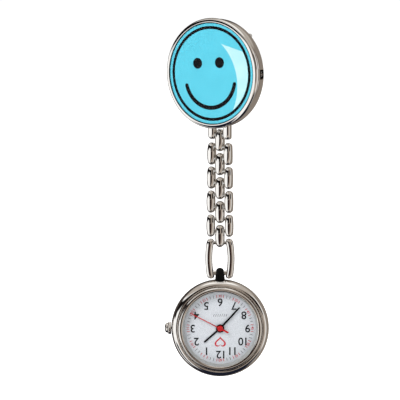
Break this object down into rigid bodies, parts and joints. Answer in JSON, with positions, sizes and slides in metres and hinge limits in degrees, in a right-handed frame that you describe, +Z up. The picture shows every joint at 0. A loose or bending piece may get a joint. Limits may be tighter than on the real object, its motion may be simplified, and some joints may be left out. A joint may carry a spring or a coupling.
{
  "type": "fob watch",
  "caption": "Clip-on fob watch: round enamelled brooch with a sprung back clip, a hinged brick-link chain and a round analogue watch hanging upside down.",
  "frame": {"origin": "centre of the brooch's back cover, on the face that lies against the garment", "axes": "+Z up, against the hang of the chain; the brooch faces -Y and the garment is on +Y; +X to the viewer's right when facing the brooch; the watch is turned 35 degrees about Z by the chain's twist"},
  "size_m": [0.0304, 0.0191, 0.0994],
  "materials": {
    "polished_chrome": "polished plate",
    "pin_steel": "drawn",
    "plate_steel": "satin",
    "spring_steel": "drawn",
    "badge_enamel": "printed gloss",
    "clear_dome": "gloss resin",
    "crystal_glass": "gloss mineral glass",
    "dial_silver": "fine grained silver",
    "chapter_grey": "satin",
    "movement_brass": "satin",
    "rotor_steel": "sintered",
    "board_green": "lacquered",
    "coil_copper": "wound wire",
    "cell_steel": "nickel plate",
    "ring_plastic": "moulded",
    "gasket_rubber": "matt",
    "eyelet_black": "black plate",
    "hand_black": "gloss lacquer",
    "hand_red": "gloss lacquer"
  },
  "bodies": {
    "brooch": {"brooch_case": "polished_chrome", "badge_disc": "badge_enamel", "dome_lens": "clear_dome", "back_cover": "plate_steel", "clip_axle": "pin_steel", "clip_spring": "spring_steel", "lug_pin": "pin_steel"},
    "clip": {"clip_lever": "plate_steel"},
    "centre_1": {"centre_link_1": "polished_chrome"},
    "centre_2": {"centre_link_2": "polished_chrome"},
    "centre_3": {"centre_link_3": "polished_chrome"},
    "centre_4": {"centre_link_4": "polished_chrome"},
    "centre_5": {"centre_link_5": "polished_chrome"},
    "row_A": {"outer_link_A_left": "polished_chrome", "outer_link_A_right": "polished_chrome", "pin_A_top": "pin_steel", "pin_A_bottom": "pin_steel"},
    "row_B": {"outer_link_B_left": "polished_chrome", "outer_link_B_right": "polished_chrome", "pin_B_top": "pin_steel", "pin_B_bottom": "pin_steel"},
    "row_C": {"outer_link_C_left": "polished_chrome", "outer_link_C_right": "polished_chrome", "pin_C_top": "pin_steel", "pin_C_bottom": "pin_steel"},
    "row_D": {"outer_link_D_left": "polished_chrome", "outer_link_D_right": "polished_chrome", "pin_D_top": "pin_steel", "pin_D_bottom": "pin_steel"},
    "end_link": {"end_link_left": "polished_chrome", "end_link_right": "polished_chrome", "end_link_pin": "pin_steel", "end_link_bar": "polished_chrome"},
    "watch": {"eyelet": "eyelet_black", "watch_case": "polished_chrome", "bezel": "polished_chrome", "crystal": "crystal_glass", "chapter_ring": "chapter_grey", "dial": "dial_silver", "movement_ring": "ring_plastic", "main_plate": "movement_brass", "train_bridge": "plate_steel", "circuit_board": "board_green", "coil": "coil_copper", "stator": "plate_steel", "battery": "cell_steel", "case_back": "plate_steel", "back_gasket": "gasket_rubber"},
    "stem": {"stem": "pin_steel"},
    "crown": {"crown": "polished_chrome"},
    "seconds": {"second_hand": "hand_red", "seconds_wheel": "movement_brass"},
    "minutes": {"minute_hand": "hand_black", "centre_wheel": "movement_brass"},
    "hours": {"hour_hand": "hand_black", "hour_wheel": "movement_brass"},
    "third_wheel": {"third_wheel": "movement_brass"},
    "minute_wheel": {"minute_wheel": "movement_brass"},
    "rotor": {"rotor": "rotor_steel"},
    "step_wheel": {"step_wheel": "movement_brass"}
  },
  "joints": [
    {"name": "chain_hinge_1", "type": "hinge", "parent": "brooch", "child": "centre_1", "pos_m": [0, 0.0016, -0.01715], "axis": [1, 0, 0], "range_deg": [-75, 75]},
    {"name": "chain_hinge_2", "type": "hinge", "parent": "centre_1", "child": "row_A", "pos_m": [0, 0.0016, -0.02047], "axis": [-0.9938, -0.1108, 0], "range_deg": [-75, 75]},
    {"name": "chain_hinge_3", "type": "hinge", "parent": "row_A", "child": "centre_2", "pos_m": [0, 0.0016, -0.02379], "axis": [0.9938, 0.1108, 0], "range_deg": [-75, 75]},
    {"name": "chain_hinge_4", "type": "hinge", "parent": "centre_2", "child": "row_B", "pos_m": [0, 0.0016, -0.02711], "axis": [-0.9754, -0.2203, 0], "range_deg": [-75, 75]},
    {"name": "chain_hinge_5", "type": "hinge", "parent": "row_B", "child": "centre_3", "pos_m": [0, 0.0016, -0.03043], "axis": [0.9754, 0.2203, 0], "range_deg": [-75, 75]},
    {"name": "chain_hinge_6", "type": "hinge", "parent": "centre_3", "child": "row_C", "pos_m": [0, 0.0016, -0.03375], "axis": [-0.945, -0.3271, 0], "range_deg": [-75, 75]},
    {"name": "chain_hinge_7", "type": "hinge", "parent": "row_C", "child": "centre_4", "pos_m": [0, 0.0016, -0.03707], "axis": [0.945, 0.3271, 0], "range_deg": [-75, 75]},
    {"name": "chain_hinge_8", "type": "hinge", "parent": "centre_4", "child": "row_D", "pos_m": [0, 0.0016, -0.04039], "axis": [-0.9029, -0.4298, 0], "range_deg": [-75, 75]},
    {"name": "chain_hinge_9", "type": "hinge", "parent": "row_D", "child": "centre_5", "pos_m": [0, 0.0016, -0.04371], "axis": [0.9029, 0.4298, 0], "range_deg": [-75, 75]},
    {"name": "chain_hinge_10", "type": "hinge", "parent": "centre_5", "child": "end_link", "pos_m": [0, 0.0016, -0.04703], "axis": [-0.8497, -0.5272, 0], "range_deg": [-75, 75]},
    {"name": "chain_hinge_11", "type": "hinge", "parent": "end_link", "child": "watch", "pos_m": [0, 0.0016, -0.0554], "axis": [0.8497, 0.5272, 0], "range_deg": [-75, 75]},
    {"name": "clip_hinge", "type": "hinge", "parent": "brooch", "child": "clip", "pos_m": [0, 0.00095, 0], "axis": [1, 0, 0], "range_deg": [0, 16], "stiffness_Nm_per_rad": 0.05, "springref_deg": -20.05, "deforming": ["clip_spring"]},
    {"name": "crown_pull", "type": "slide", "parent": "watch", "child": "stem", "axis": [-0.8192, -0.5736, 0], "range_m": [0, 0.001]},
    {"name": "crown_turn", "type": "hinge", "parent": "stem", "child": "crown", "pos_m": [-0.01167, -0.00614, -0.0707], "axis": [-0.8192, -0.5736, 0], "continuous": true},
    {"name": "seconds_turn", "type": "hinge", "parent": "watch", "child": "seconds", "pos_m": [0, 0.0016, -0.0707], "axis": [-0.5736, 0.8192, 0], "continuous": true},
    {"name": "step_turn", "type": "hinge", "parent": "watch", "child": "step_wheel", "pos_m": [-0.00111, 0.00083, -0.07304], "axis": [-0.5736, 0.8192, 0], "continuous": true},
    {"name": "rotor_turn", "type": "hinge", "parent": "watch", "child": "rotor", "pos_m": [-0.00205, 0.00016, -0.07504], "axis": [-0.5736, 0.8192, 0], "continuous": true},
    {"name": "third_turn", "type": "hinge", "parent": "watch", "child": "third_wheel", "pos_m": [-0.00104, 0.00087, -0.06849], "axis": [-0.5736, 0.8192, 0], "continuous": true},
    {"name": "minutes_turn", "type": "hinge", "parent": "watch", "child": "minutes", "pos_m": [0, 0.0016, -0.0707], "axis": [-0.5736, 0.8192, 0], "continuous": true},
    {"name": "minute_wheel_turn", "type": "hinge", "parent": "watch", "child": "minute_wheel", "pos_m": [-0.00164, 0.00045, -0.0707], "axis": [-0.5736, 0.8192, 0], "continuous": true},
    {"name": "hours_turn", "type": "hinge", "parent": "watch", "child": "hours", "pos_m": [0, 0.0016, -0.0707], "axis": [-0.5736, 0.8192, 0], "continuous": true}
  ],
  "couplings": [
    {"joint": "step_turn", "follows": "seconds_turn", "ratio": -5},
    {"joint": "rotor_turn", "follows": "seconds_turn", "ratio": 30},
    {"joint": "third_turn", "follows": "seconds_turn", "ratio": -0.13333},
    {"joint": "minutes_turn", "follows": "seconds_turn", "ratio": 0.016667},
    {"joint": "minute_wheel_turn", "follows": "seconds_turn", "ratio": -0.0055556},
    {"joint": "hours_turn", "follows": "seconds_turn", "ratio": 0.0013889}
  ]
}
